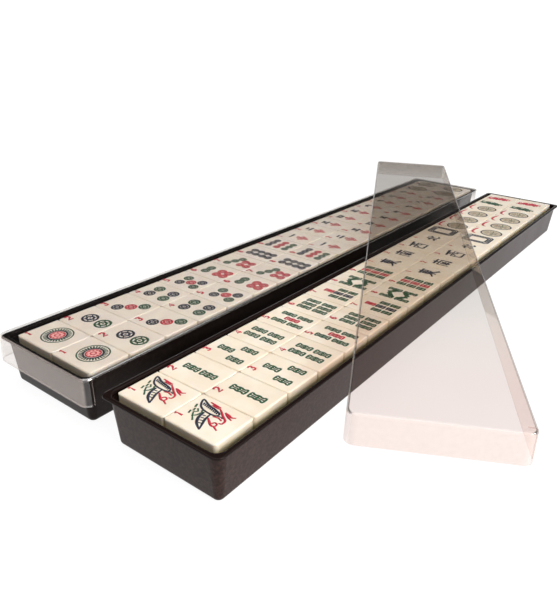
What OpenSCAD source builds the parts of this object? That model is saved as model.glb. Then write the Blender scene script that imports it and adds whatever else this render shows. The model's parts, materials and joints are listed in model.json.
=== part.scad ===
// Mahjong case: two long open trays, each filled with two layers of tiles. One tray is closed
// by its clear cover. The second clear cover lies loose and askew across both trays.
// Sizes are in millimetres. The origin is the centre of the right tray's underside, +X runs
// across the trays to the right, +Y runs along them to the far end, and +Z is up.

/* [Tiles] */
// Length of a tile, across the tray
tile_long = 29.8; // [26:0.1:36]
// Width of a tile, along the tray
tile_wide = 23.5; // [20:0.1:28]
// Thickness of a tile
tile_thick = 13.4; // [11:0.1:18]
// Radius of the edges round a tile's two faces
tile_edge = 0.8; // [0.5:0.1:1.6]
// Radius of a tile's four upright edges
tile_corner = 1.6; // [1.2:0.1:2.4]
// Gap between neighbouring tiles
tile_gap = 0.2; // [0.1:0.05:0.8]

/* [Trays] */
// Thickness of the formed sheet that a tray is made of
tray_sheet = 0.8; // [0.6:0.1:1.4]
// Room on each side between the tiles and a long wall, at the floor
side_room = 0.95; // [0.6:0.05:2.5]
// Room at each end between the tiles and an end wall, at the floor
end_room = 0.5; // [0.4:0.05:2.5]
// How far each wall leans out between the floor and the rim
wall_lean = 2.5; // [1:0.1:4]
// Outer radius of the rounded edge under a tray
foot_radius = 2.6; // [2:0.1:2.7]
// Radius of the fillet between a tray's floor and its walls
floor_fillet = 0.6; // [0.4:0.1:1]
// Plan radius of a tray's inner corners, at the floor
corner_radius = 2.1; // [2:0.1:2.6]
// How far the upper tiles stand above the rim
tile_proud = 0.6; // [0.3:0.1:2]

/* [Rims] */
// How far a rim reaches out past the wall under it
rim_reach = 2.1; // [1.6:0.1:4]
// Thickness of a rim
rim_thick = 0.9; // [0.7:0.1:1.2]
// Radius of the bend between a wall and the top of its rim
rim_bend = 0.9; // [0.6:0.1:1.1]
// Plan radius of a rim's outer corners
rim_corner = 4; // [3:0.1:6]

/* [Covers] */
// Thickness of a cover's clear sheet
cover_sheet = 0.5; // [0.4:0.05:0.8]
// Height of a cover from its top face to the lower edge of its skirt
cover_height = 14.9; // [10:0.1:20]
// How far a skirt flares out between the top and its lower edge
cover_flare = 0.4; // [0.2:0.1:1.2]
// Outer radius of the edge between a cover's top and its skirt
cover_edge = 1.4; // [1:0.1:1.8]
// Play between a rim and the skirt round it
cover_play = 0.25; // [0.15:0.05:0.8]
// Plan radius of a cover's outer corners, at the top
cover_corner = 4.5; // [3.5:0.1:7]

/* [Layout] */
// Distance between the middles of the two trays
tray_spacing = 85; // [80:0.5:120]
// How far the left tray is set back from the right one
left_setback = 1.9; // [-10:0.1:10]
// Gap between the right tray's tiles and the left wall that they have slid against
right_slide_gap = 0.25; // [0.15:0.05:0.4]
// Gap between the left tray's tiles and the right wall that they have slid against
left_slide_gap = 0.6; // [0.2:0.05:0.8]
// Gap left where a cover rests on what is under it
rest_gap = 0.2; // [0.1:0.05:0.4]
// Sideways place of the loose cover's middle
loose_x = -13.9; // [-30:0.1:0]
// Lengthways place of the loose cover's middle
loose_y = 28.1; // [-20:0.1:60]
// How far the loose cover is turned, in degrees
loose_turn = 28; // [20:0.5:40]

/* [Hidden] */
// Rows of tiles from the near end to the far end, a pair of tiles of one kind in each
RIGHT_ROWS = [
    "bamboo_1", "bamboo_2", "bamboo_3", "bamboo_4", "bamboo_5", "bamboo_6", "bamboo_7",
    "bamboo_8", "bamboo_9", "east_wind", "south_wind", "west_wind", "north_wind",
    "white_dragon", "flower_1", "flower_2", "flower_3", "flower_4", "green_dragon",
    "red_dragon"
];
LEFT_ROWS = [
    "dot_1", "dot_2", "dot_3", "dot_4", "dot_5", "dot_6", "dot_7", "dot_8", "dot_9",
    "character_1", "character_2", "character_3", "character_4", "character_5",
    "character_6", "character_7", "character_8", "character_9", "joker_1", "joker_2"
];
// Under these rows the lower tiles are a pair of their own, which lifts out by itself
FREE_ROWS = [0, 1, 2, 3, 16, 17, 18, 19];
// The other lower tiles lie in groups: name, first row and last row
RIGHT_GROUPS = [
    ["lower_bamboos", 4, 8], ["lower_winds", 9, 12], ["lower_honours", 13, 15]
];
LEFT_GROUPS = [
    ["lower_dots", 0, 8], ["lower_characters", 9, 17], ["lower_jokers", 18, 19]
];

function lower_name(row) = str("lower_", RIGHT_ROWS[row]);

// Smoothness of the curves
$fn = 48;
// Overlap that makes two joined shapes one solid
lap = 0.3;

ROWS = len(RIGHT_ROWS);
COLUMNS = 2;
LAYERS = 2;
row_pitch = tile_wide + tile_gap;
column_pitch = tile_long + tile_gap;
tiles_w = COLUMNS * column_pitch - tile_gap;
tiles_l = ROWS * row_pitch - tile_gap;

// The hollow of a tray at its floor, and the heights of the rim and of the tiles' faces
floor_w = tiles_w + 2 * side_room;
floor_l = tiles_l + 2 * end_room;
tiles_top = tray_sheet + LAYERS * tile_thick;
rim_top = tiles_top - tile_proud;
lean_angle = atan(wall_lean / (rim_top - tray_sheet));

// How far a wall's inner face has leaned out at a height
function lean_at(z) = wall_lean * (z - tray_sheet) / (rim_top - tray_sheet);

// Distances of the wall's outer face and of the rim's outer edge from the floor's edge
wall_out = tray_sheet / cos(lean_angle);
rim_out = wall_lean + wall_out + rim_reach;
rim_w = floor_w + 2 * rim_out;
rim_l = floor_l + 2 * rim_out;

// Outer size of a cover at its top, and the height of its top face when it is on a tray
cover_w = rim_w + 2 * (cover_play + cover_sheet);
cover_l = rim_l + 2 * (cover_play + cover_sheet);
seated_top = tiles_top + rest_gap + cover_sheet;

// Sideways slide of the tiles: left in the right tray, and right in the left tray, where the
// upper tiles slide further because the walls lean out
right_slide = -(side_room - right_slide_gap);
left_slide = side_room - right_slide_gap;
left_upper_slide = side_room + lean_at(tray_sheet + tile_thick) - left_slide_gap;

// The loose cover rests on the right edge of the closed cover and on the right edge of the
// right tray's tiles, so it tips down a little to the right
left_rest_x = -tray_spacing + cover_w / 2 - cover_edge;
right_rest_x = right_slide + tiles_w / 2 - tile_edge;
loose_tip = atan((seated_top - tiles_top) / (right_rest_x - left_rest_x));
loose_z = seated_top + rest_gap - (loose_x - left_rest_x) * tan(loose_tip);

// A straight bar along Z with rounded long edges
module rounded_bar(w, d, h, r) {
    translate([0, 0, -h / 2])
        linear_extrude(h)
            union() {
                square([w - 2 * r, d], center = true);
                square([w, d - 2 * r], center = true);
                for (x = [-1, 1], y = [-1, 1])
                    translate([x * (w / 2 - r), y * (d / 2 - r)])
                        circle(r);
            }
}

// A flat plate with rounded corners, its underside on z = 0
module rounded_plate(w, l, h, r) {
    translate([0, 0, h / 2])
        rounded_bar(w, l, h, r);
}

// One tile, its underside on z = 0, with all edges rounded
module tile() {
    translate([0, 0, tile_thick / 2])
        intersection() {
            rounded_bar(tile_long, tile_wide, tile_thick, tile_corner);
            rotate([0, 90, 0])
                rounded_bar(tile_thick, tile_wide, tile_long, tile_edge);
            rotate([90, 0, 0])
                rounded_bar(tile_long, tile_thick, tile_wide, tile_edge);
        }
}

// The pair of tiles of one row in one layer, where layer 0 lies on the floor
module tile_pair(row, layer) {
    y = (row - (ROWS - 1) / 2) * row_pitch;
    for (side = [-1, 1])
        translate([side * column_pitch / 2, y, tray_sheet + layer * tile_thick])
            tile();
}

module tile_rows(first, last, layer) {
    color([0.96, 0.92, 0.83])
        for (row = [first:last])
            tile_pair(row, layer);
}

// Puts a 2D wall section round a rectangle: four straight runs and four turned corners.
// The section's x is the distance outward from the rectangle w by l, its corners have radius r.
module sweep_round(w, l, r) {
    for (turn = [0, 180]) {
        rotate(turn)
            translate([w / 2, l / 2 - r, 0])
                rotate([90, 0, 0])
                    linear_extrude(l - 2 * r)
                        children();
        rotate(turn + 90)
            translate([l / 2, w / 2 - r, 0])
                rotate([90, 0, 0])
                    linear_extrude(w - 2 * r)
                        children();
        rotate(turn)
            translate([w / 2 - r, l / 2 - r, 0])
                rotate_extrude(angle = 90)
                    translate([r, 0])
                        children();
        rotate(turn + 90)
            translate([l / 2 - r, w / 2 - r, 0])
                rotate_extrude(angle = 90)
                    translate([r, 0])
                        children();
    }
}

// Section of a tray's wall: floor strip, rounded foot, leaning wall and the start of the rim.
// Its x is 0 at the inner face of the wall, at the floor.
module tray_section() {
    // centre of the rounded foot, which touches the underside and the leaning outer face
    foot_x = wall_out + lean_at(foot_radius) - foot_radius / cos(lean_angle);
    // centre of the fillet inside, between the floor and the leaning inner face
    fillet_z = tray_sheet + floor_fillet;
    fillet_x = lean_at(fillet_z) - floor_fillet / cos(lean_angle);
    tangent = [cos(lean_angle), -sin(lean_angle)];
    bend_z = rim_top - rim_bend;
    bend_x = lean_at(bend_z) + rim_bend / cos(lean_angle);
    start_x = lap / 2 - corner_radius;
    difference() {
        union() {
            polygon([
                [start_x, 0],
                [foot_x, 0],
                [foot_x, foot_radius] + foot_radius * tangent,
                [wall_lean + wall_out, rim_top],
                [start_x, rim_top]
            ]);
            intersection() {
                translate([foot_x, foot_radius])
                    circle(foot_radius);
                translate([foot_x, 0])
                    square(foot_radius);
            }
            translate([wall_lean, rim_top - rim_thick])
                square([wall_out + rim_reach / 2, rim_thick]);
        }
        polygon([
            [start_x - lap, tray_sheet],
            [fillet_x, tray_sheet],
            [fillet_x, fillet_z] + floor_fillet * tangent,
            [wall_lean, rim_top],
            [wall_lean, rim_top + lap],
            [start_x - lap, rim_top + lap]
        ]);
        translate([fillet_x, fillet_z])
            circle(floor_fillet);
        difference() {
            polygon([
                [bend_x, bend_z] - rim_bend * tangent,
                [bend_x, bend_z],
                [bend_x, rim_top + lap],
                [wall_lean - lap, rim_top + lap],
                [wall_lean - lap, bend_z]
            ]);
            translate([bend_x, bend_z])
                circle(rim_bend);
        }
    }
}

// The outer part of a rim: a flat frame with rounded outer corners and a rounded outer edge
module rim_frame() {
    edge = rim_thick / 2;
    strip = rim_corner - edge - lap / 2;
    opening_out = wall_lean + wall_out + rim_reach / 2 - lap;
    translate([0, 0, rim_top - rim_thick])
        difference() {
            sweep_round(rim_w - 2 * edge, rim_l - 2 * edge, rim_corner - edge)
                union() {
                    translate([-strip, 0])
                        square([strip, rim_thick]);
                    translate([0, edge])
                        circle(edge);
                }
            translate([0, 0, -lap])
                rounded_plate(
                    floor_w + 2 * opening_out,
                    floor_l + 2 * opening_out,
                    rim_thick + 2 * lap,
                    corner_radius + opening_out
                );
        }
}

// A tray, centred on the origin, its underside on z = 0
module tray() {
    color([0.16, 0.13, 0.12])
        union() {
            translate([0, 0, tray_sheet / 2])
                cube([
                    floor_w - 2 * (corner_radius - lap),
                    floor_l - 2 * (corner_radius - lap),
                    tray_sheet
                ], center = true);
            sweep_round(floor_w, floor_l, corner_radius)
                tray_section();
            rim_frame();
        }
}

// Section of a cover's edge: strip of the top, rounded edge and flaring skirt.
// Its x is 0 at the skirt's outer face under the rounded edge, and its z is 0 at the skirt's
// lower edge.
module cover_section() {
    flare_angle = atan(cover_flare / (cover_height - cover_edge));
    skin = cover_sheet / cos(flare_angle);
    centre = [-cover_edge, cover_height - cover_edge];
    inner = cover_edge - cover_sheet;
    start_x = lap / 2 - cover_corner;
    difference() {
        union() {
            polygon([
                [start_x, 0],
                [cover_flare, 0],
                [0, centre[1]],
                [centre[0], centre[1]],
                [centre[0], cover_height],
                [start_x, cover_height]
            ]);
            translate(centre)
                circle(cover_edge);
        }
        polygon([
            [start_x - lap, -lap],
            [cover_flare - skin + lap * tan(flare_angle), -lap],
            [-skin, centre[1]],
            [centre[0], centre[1]],
            [centre[0], cover_height - cover_sheet],
            [start_x - lap, cover_height - cover_sheet]
        ]);
        translate(centre)
            circle(inner);
    }
}

// A cover, centred on the origin, the lower edge of its skirt on z = 0
module cover() {
    color([0.86, 0.86, 0.88, 0.35])
        union() {
            translate([0, 0, cover_height - cover_sheet / 2])
                cube([
                    cover_w - 2 * (cover_corner - lap),
                    cover_l - 2 * (cover_corner - lap),
                    cover_sheet
                ], center = true);
            sweep_round(cover_w, cover_l, cover_corner)
                cover_section();
        }
}

// Places what belongs to the left tray
module at_left() {
    translate([-tray_spacing, left_setback, 0])
        children();
}

module right_tray() {
    tray();
}

module left_tray() {
    at_left()
        tray();
}

module left_cover() {
    at_left()
        translate([0, 0, seated_top - cover_height])
            cover();
}

module loose_cover() {
    translate([loose_x, loose_y, loose_z])
        rotate([0, loose_tip, 0])
            rotate([0, 0, loose_turn])
                cover();
}

module right_tiles(first, last, layer) {
    translate([right_slide, 0, 0])
        tile_rows(first, last, layer);
}

module left_tiles(first, last, layer) {
    at_left()
        translate([layer == 0 ? left_slide : left_upper_slide, 0, 0])
            tile_rows(first, last, layer);
}

right_tray();
left_tray();
left_cover();
loose_cover();
for (row = [0:ROWS - 1]) {
    right_tiles(row, row, 1);
    left_tiles(row, row, 1);
}
for (row = FREE_ROWS)
    right_tiles(row, row, 0);
for (group = RIGHT_GROUPS)
    right_tiles(group[1], group[2], 0);
for (group = LEFT_GROUPS)
    left_tiles(group[1], group[2], 0);
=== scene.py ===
"""Looks of a mahjong case: two long trays of tiles, one under its clear cover, and the second
cover lying loose across both.

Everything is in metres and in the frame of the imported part: +X runs across the trays to the
right, +Y along them to the far end, +Z up. The marks on the tiles are drawn in millimetres, seen
with the tile upright in front of you: a counts to the right and b counts up from the middle.
"""

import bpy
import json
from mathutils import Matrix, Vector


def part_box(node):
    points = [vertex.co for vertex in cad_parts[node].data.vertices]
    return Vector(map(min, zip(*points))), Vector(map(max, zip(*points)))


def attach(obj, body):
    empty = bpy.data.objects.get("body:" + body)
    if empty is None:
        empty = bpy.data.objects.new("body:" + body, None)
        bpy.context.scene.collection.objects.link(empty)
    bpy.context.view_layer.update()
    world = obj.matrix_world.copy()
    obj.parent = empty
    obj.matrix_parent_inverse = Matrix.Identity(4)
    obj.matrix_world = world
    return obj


bl_info = {
    "name": "Mahjong Case Looks",
    "version": (1, 0, 0),
    "blender": (4, 5, 0),
    "location": "View3D > Sidebar > Mahjong Case",
    "description": "Dresses two trays, their covers and their tiles, and draws the tiles' marks",
    "category": "Object",
}

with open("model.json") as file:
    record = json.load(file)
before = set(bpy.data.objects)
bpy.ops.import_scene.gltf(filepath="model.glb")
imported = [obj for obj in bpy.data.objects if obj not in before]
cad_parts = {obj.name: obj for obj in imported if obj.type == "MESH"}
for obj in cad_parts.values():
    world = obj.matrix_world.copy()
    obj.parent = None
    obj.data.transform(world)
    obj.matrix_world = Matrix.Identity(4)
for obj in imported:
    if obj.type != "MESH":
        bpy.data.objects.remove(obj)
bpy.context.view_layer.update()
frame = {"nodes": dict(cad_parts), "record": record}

import json
import math

import bpy
from bpy.props import FloatProperty, FloatVectorProperty, PointerProperty
from mathutils import Matrix, Vector

MM = 0.001

# Rows of two tiles whose lower pair can be lifted out as well, so its faces can be seen
FREE_ROWS = ("bamboo_1", "bamboo_2", "bamboo_3", "bamboo_4", "flower_3", "flower_4",
             "green_dragon", "red_dragon")
TRAYS = ("right_tray", "left_tray")
COVERS = ("left_cover", "loose_cover")
TILE_NODES = sorted(set(frame["nodes"]) - set(TRAYS) - set(COVERS))


def body_of_node(node):
    """The name of the body that a node belongs to."""
    for body, nodes in frame["record"]["behaviour"]["bodies"].items():
        if node in nodes:
            return body
    raise RuntimeError(f"no body holds {node}")


# ===== Settings =====


def colour(name, description, default):
    """A colour setting with three channels."""
    return FloatVectorProperty(
        name=name, description=description, subtype="COLOR", size=3, min=0, max=1, default=default
    )


def amount(name, description, default, low=0.0, top=1.0, unit="NONE"):
    """A setting between two values, a plain share unless told otherwise."""
    return FloatProperty(
        name=name, description=description, min=low, max=top, default=default, unit=unit
    )


class MAHJONG_PG_tiles(bpy.types.PropertyGroup):
    """Finish of the tiles."""

    cream: colour("Cream", "Colour of a tile's face", (0.79, 0.69, 0.575))
    # the colour lower down the sides is partly the resin's tone and partly painted shade of the
    # gaps round the tiles
    honey_and_shade: colour("Honey", "Colour of a tile's sides lower down", (0.53, 0.45, 0.21))
    cream_depth: amount(
        "Cream depth", "How far the face's cream reaches down a tile's sides", 0.0016,
        top=0.01, unit="LENGTH"
    )
    streaks: amount("Streaks", "Strength of the fine streaks in the resin", 0.5)
    glow: amount("Glow", "Share of light that the resin spreads inside itself", 0.4)
    roughness: amount("Roughness", "Roughness of the polished faces", 0.34)


class MAHJONG_PG_inks(bpy.types.PropertyGroup):
    """Inks of the marks."""

    green: colour("Green", "Bamboo sticks and half of the dots", (0.018, 0.075, 0.030))
    red: colour("Red", "Numerals, petals and character signs", (0.50, 0.018, 0.040))
    navy: colour("Navy", "Dots, bird and wind signs", (0.015, 0.018, 0.036))
    grey: colour("Grey", "Fine patterns inside the ovals", (0.13, 0.115, 0.095))
    tan: colour("Tan", "Ground of the ovals", (0.50, 0.42, 0.30))
    rose: colour("Rose", "Heart of the great dot", (0.84, 0.42, 0.40))
    roughness: amount("Roughness", "Roughness of the inks", 0.5)


class MAHJONG_PG_trays(bpy.types.PropertyGroup):
    """Finish of the trays."""

    right_sheet: colour("Right sheet", "Colour of the right tray's sheet", (0.017, 0.0095, 0.008))
    # The left tray's sheet is kept darker than the right one's as painted shade: the same plastic,
    # standing under its cover and beside the dark gap
    left_sheet_shaded: colour("Left sheet", "Colour of the left tray's sheet", (0.006, 0.004, 0.0035))
    wall_roughness: amount("Wall roughness", "Roughness of the satin walls", 0.33)
    rim_roughness: amount("Rim roughness", "Roughness of the glossier rim", 0.17)
    lip: amount(
        "Lip", "Width of the rolled outer edge of the rim", 0.0009,
        low=0.0002, top=0.002, unit="LENGTH"
    )


class MAHJONG_PG_covers(bpy.types.PropertyGroup):
    """Finish of the covers."""

    seated: colour("Seated cover", "Tint of the seated cover seen face on", (0.985, 0.98, 0.975))
    loose: colour("Loose cover", "Tint of the loose cover seen face on", (0.97, 0.952, 0.932))
    loose_near: colour(
        "Loose near end", "Tint of the loose cover's near end seen face on", (0.955, 0.905, 0.89)
    )
    seated_edge_on: colour(
        "Seated edge on", "Tint of the seated cover seen at a low angle", (0.80, 0.78, 0.74)
    )
    loose_edge_on: colour(
        "Loose edge on", "Tint of the loose cover seen at a low angle", (0.05, 0.04, 0.03)
    )
    skirt_edge_on: colour(
        "Skirt edge on", "Tint of the thinner skirt seen at a low angle", (0.965, 0.935, 0.92)
    )
    thick: colour(
        "Thick end", "Tint of the thicker sheet in the far end of the skirt", (0.85, 0.84, 0.83)
    )
    film: colour("Film", "Colour of the shine on the clear faces", (0.93, 0.91, 0.90))
    milk: colour("Milk", "Colour of the haze in the drawn ends", (0.86, 0.74, 0.68))
    bend_tint: amount("Bend tint", "Share of the low angle's tint in the rounded edges", 0.45)
    shine: amount("Shine", "Share of reflection seen face on", 0.035)
    low_shine: amount("Low shine", "Share of reflection added at a low angle", 0.36)
    plate_haze: amount("Plate haze", "Share of haze in the flat plate", 0.005)
    end_haze: amount("End haze", "Share of haze in the drawn ends of the skirt", 0.155)
    seated_bend: amount("Seated bend", "Shine of the seated cover's rounded edges", 0.28)
    loose_bend: amount("Loose bend", "Shine of the loose cover's rounded edges", 0.16)
    roughness: amount("Roughness", "Roughness of the glossy faces", 0.07)


class MAHJONG_PG_stage(bpy.types.PropertyGroup):
    """Camera, floor and lights."""

    lens: amount("Lens", "Focal length of the camera", 35.741, low=10, top=200, unit="CAMERA")
    floor_size: amount("Floor size", "Side of the floor", 12, low=2, top=40, unit="LENGTH")
    floor: colour("Floor", "Colour of the floor", (0.14, 0.14, 0.14))
    glow: amount("Floor glow", "Light of the floor itself, which keeps it free of shadows", 0.92)
    sky: amount("Sky", "Strength of the light from all round", 1.0, top=4)
    key: amount("Key", "Power of the main soft light", 4.7, top=200, unit="POWER")


# ===== Materials =====

# Shares of the cream, channel by channel, that the streaks and the darkest tiles keep
STREAK_TONE = (0.95, 0.90, 0.80)
DARK_TILE_TONE = (0.95, 0.925, 0.86)
CLOUD_CREAM = (0.87, 0.82, 0.71)
# The left tray's tiles are a little less warm than the right one's
RIGHT_TONE = (1, 1, 1)
LEFT_TONE = (1.0, 1.03, 1.13)
# How far the cream fades to the honey colour, which is partly painted shade, and how much its edge
# wavers
HONEY_SHADE_FADE = 4.6 * MM
CREAM_WAVER = 0.6 * MM
# A tile's face is looked for this far above it, so that the face itself lies inside its cell
FACE_MARGIN = 0.1 * MM
# How far below the top of a tray its rim starts, and where it is all rim
RIM_START = 2.5 * MM
RIM_WHOLE = 1.2 * MM
# Plan radius of a rim's outer corners
RIM_CORNER = 4 * MM
# Places along a cover, from the frame's origin: the near tint ends in the first two, and the
# thicker far sheet starts in the other two
NEAR_TINT = (-0.18, -0.08)
FAR_SHEET = (0.0, 0.2)
# How far the loose cover is turned, in degrees
LOOSE_TURN = 28
# Most of a cover's light that may be its own shine
SHINE_LIMIT = 0.95
# Half width of the painted shadow on the floor between the trays: all shadow, and all light again
SHADOW_STRIP = (0.011, 0.014)
# How far before the far end of the trays the painted shadow starts to fade, and where it is gone
STRIP_FADE = (0.07, 0.03)


def scaled(tint, factor):
    """A colour times one number, or times a number for each channel."""
    factors = factor if isinstance(factor, tuple) else (factor,) * 3
    return [channel * by for channel, by in zip(tint, factors)]


class Finish:
    """A material under way: its shader, its output, and what adds and links its nodes."""

    def __init__(self, name):
        self.material = bpy.data.materials.new(name)
        self.material.use_nodes = True
        self.tree = self.material.node_tree
        self.shader = self.tree.nodes["Principled BSDF"]
        self.output = self.tree.nodes["Material Output"]
        self.place = self.add("ShaderNodeTexCoord").outputs["Object"]

    def set(self, socket, value):
        """Links an output to an input, or gives it a number, a vector or a colour."""
        if isinstance(value, bpy.types.NodeSocket):
            self.tree.links.new(value, socket)
        elif socket.type == "RGBA":
            socket.default_value = (*value[:3], 1)
        else:
            socket.default_value = value

    def add(self, kind, inputs=None, **properties):
        """A new node, with its inputs by name or number."""
        node = self.tree.nodes.new(kind)
        for key, value in properties.items():
            setattr(node, key, value)
        for key, value in (inputs or {}).items():
            self.set(node.inputs[key], value)
        return node

    def look(self, values):
        """Sets inputs of the shader itself."""
        for name, value in values.items():
            self.set(self.shader.inputs[name], value)

    def math(self, operation, first, second=0.0):
        """A calculation with numbers or outputs."""
        return self.add("ShaderNodeMath", {0: first, 1: second}, operation=operation).outputs[0]

    def plus(self, first, second):
        """A sum."""
        return self.math("ADD", first, second)

    def minus(self, first, second):
        """A difference."""
        return self.math("SUBTRACT", first, second)

    def times(self, first, second):
        """A product."""
        return self.math("MULTIPLY", first, second)

    def size(self, value):
        """A value without its sign."""
        return self.math("ABSOLUTE", value)

    def dot(self, vector, direction):
        """How far a vector goes in a direction."""
        node = self.add("ShaderNodeVectorMath", {0: vector, 1: direction}, operation="DOT_PRODUCT")
        return node.outputs["Value"]

    def axes(self, vector=None):
        """The x, y and z of a vector, or else of the place."""
        vector = self.place if vector is None else vector
        return self.add("ShaderNodeSeparateXYZ", {0: vector}).outputs

    def mix(self, factor, first, second, blend="MIX"):
        """A mix of two colours."""
        inputs = {0: factor, 6: first, 7: second}
        return self.add("ShaderNodeMix", inputs, data_type="RGBA", blend_type=blend).outputs[2]

    def ramp(self, value, low, high, start=0.0, end=1.0):
        """Spreads a value's range low to high over start to end, and clamps it."""
        inputs = {"Value": value, "From Min": low, "From Max": high, "To Min": start, "To Max": end}
        return self.add("ShaderNodeMapRange", inputs, clamp=True).outputs["Result"]

    def noise(self, scale, detail=2.0, stretch=(1, 1, 1)):
        """Noise over the place; a stretch below 1 draws it out along that axis."""
        mapping = self.add("ShaderNodeMapping", {"Vector": self.place, "Scale": stretch})
        inputs = {"Vector": mapping.outputs[0], "Scale": scale, "Detail": detail}
        return self.add("ShaderNodeTexNoise", inputs).outputs["Fac"]

    def bump(self, height, distance, strength=1.0, under=None):
        """Relief from a height between 0 and 1, on top of another relief where one is given."""
        inputs = {"Height": height, "Distance": distance, "Strength": strength}
        if under is not None:
            inputs["Normal"] = under
        return self.add("ShaderNodeBump", inputs).outputs[0]


def tile_finish(name, start, tone, settings):
    """Cream resin, each tile a shade of its own; start is the x between a tray's two columns of
    tiles and the y where its first row begins, and tone shifts the cream of its tiles."""
    finish = Finish(name)
    x, y, z = finish.axes()

    # a number for each tile of the grid, for its own shade
    low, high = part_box("bamboo_1")
    row_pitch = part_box("bamboo_2")[0].y - low.y
    layer = high.z - low.z
    row = finish.math("DIVIDE", finish.minus(y, start[1]), row_pitch)
    level = finish.math("DIVIDE", finish.minus(z, high.z + FACE_MARGIN), layer)
    cell = finish.add("ShaderNodeCombineXYZ", {
        0: finish.math("GREATER_THAN", x, start[0]),
        1: finish.math("FLOOR", row),
        2: finish.math("FLOOR", level),
    })
    inputs = {"Vector": cell.outputs[0]}
    shade = finish.add("ShaderNodeTexWhiteNoise", inputs, noise_dimensions="3D").outputs["Value"]

    # fine streaks along the tiles and soft clouds
    streak = finish.noise(260, 3, (0.12, 1, 0.5))
    cloud = finish.noise(85)
    cream = scaled(settings.cream, tone)
    streaked = finish.times(finish.ramp(streak, 0.35, 0.75), settings.streaks)
    warm = finish.mix(streaked, cream, scaled(cream, STREAK_TONE))
    warm = finish.mix(finish.ramp(cloud, 0.4, 0.7, 0, 0.6), warm, CLOUD_CREAM)
    warm = finish.mix(finish.ramp(shade, 0, 1, 0, 0.35), warm, scaled(cream, DARK_TILE_TONE))

    # the cream face turns to the honey colour down the tile's sides: partly a warmer resin tone,
    # partly painted shade of the narrow gaps round the tiles
    depth = finish.minus(layer, finish.times(finish.math("FRACT", level), layer))
    depth = finish.plus(depth, finish.times(cloud, CREAM_WAVER))
    down = finish.ramp(depth, settings.cream_depth, settings.cream_depth + HONEY_SHADE_FADE)

    rough = settings.roughness
    finish.look({
        "Base Color": finish.mix(down, warm, settings.honey_and_shade),
        "Roughness": finish.ramp(finish.noise(600), 0.3, 0.7, rough - 0.05, rough + 0.08),
        "Specular IOR Level": 0.25,
        "Subsurface Weight": settings.glow,
        "Subsurface Radius": (1.0, 0.8, 0.55),
        "Subsurface Scale": 2.2 * MM,
        "Normal": finish.bump(finish.plus(cloud, streak), 0.06 * MM, 0.6),
    })
    return finish.material


def ink_finish(name, ink, settings):
    """Ink in the engraved marks, a little uneven."""
    finish = Finish(name)
    patch = finish.noise(900)
    lighter = [min(1, channel * 1.5 + 0.01) for channel in ink]
    rough = settings.roughness
    finish.look({
        "Base Color": finish.mix(finish.ramp(patch, 0.45, 0.8, 0, 0.6), ink, lighter),
        "Roughness": finish.ramp(patch, 0.3, 0.7, rough - 0.1, rough + 0.1),
        "Specular IOR Level": 0.35,
        "Normal": finish.bump(patch, 0.03 * MM, 0.5),
    })
    return finish.material


def rim_inset(finish, low, high):
    """How far a point of a rim lies inside its outer edge, round the corners too."""
    over = []
    for axis in (0, 1):
        from_middle = finish.minus(finish.axes()[axis], (low[axis] + high[axis]) / 2)
        half = (high[axis] - low[axis]) / 2
        over.append(finish.minus(finish.size(from_middle), half - RIM_CORNER))
    outward = [finish.math("MAXIMUM", value, 0.0) for value in over]
    reach = finish.math("SQRT", finish.plus(*[finish.times(value, value) for value in outward]))
    straight = finish.math("MINIMUM", finish.math("MAXIMUM", *over), 0.0)
    return finish.minus(RIM_CORNER, finish.plus(reach, straight))


def tray_finish(node, settings):
    """Nearly black formed sheet: satin walls with a fine grain, and a glossier rim whose outer
    edge is rolled over."""
    finish = Finish(f"{node}_sheet")
    # the left tray gets the darker sheet, a painted shade of the same plastic
    sheet = settings.right_sheet if node == "right_tray" else settings.left_sheet_shaded
    low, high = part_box(node)
    rim = finish.ramp(finish.axes()[2], high.z - RIM_START, high.z - RIM_WHOLE)
    draw = finish.noise(45, 3, (1, 1, 0.25))
    lines = finish.noise(420, 2, (1, 1, 0.06))
    mottle = finish.noise(650)
    grain = finish.noise(2200)
    tone = finish.mix(finish.ramp(draw, 0.35, 0.7), sheet, scaled(sheet, 1.35))
    tone = finish.mix(finish.ramp(lines, 0.45, 0.75, 0, 0.2), tone, scaled(sheet, 1.8))
    tone = finish.mix(finish.ramp(mottle, 0.4, 0.7, 0, 0.8), tone, scaled(sheet, 2.6))
    rough = settings.wall_roughness
    wall = finish.ramp(draw, 0.3, 0.7, rough - 0.02, rough + 0.02)
    inputs = {0: rim, 2: wall, 3: settings.rim_roughness}
    lip = finish.math("SQRT", finish.ramp(rim_inset(finish, low, high), 0.0, settings.lip))
    fine = finish.bump(finish.plus(grain, finish.times(draw, 2.0)), 0.04 * MM, 0.5)
    finish.look({
        "Base Color": finish.mix(rim, tone, scaled(sheet, 0.6)),
        "Roughness": finish.add("ShaderNodeMix", inputs, data_type="FLOAT").outputs[0],
        "Specular IOR Level": 0.12,
        "Specular Tint": (1.0, 0.86, 0.82),
        "Normal": finish.bump(finish.times(lip, rim), 0.4 * MM, 1.0, fine),
    })
    return finish.material


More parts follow.
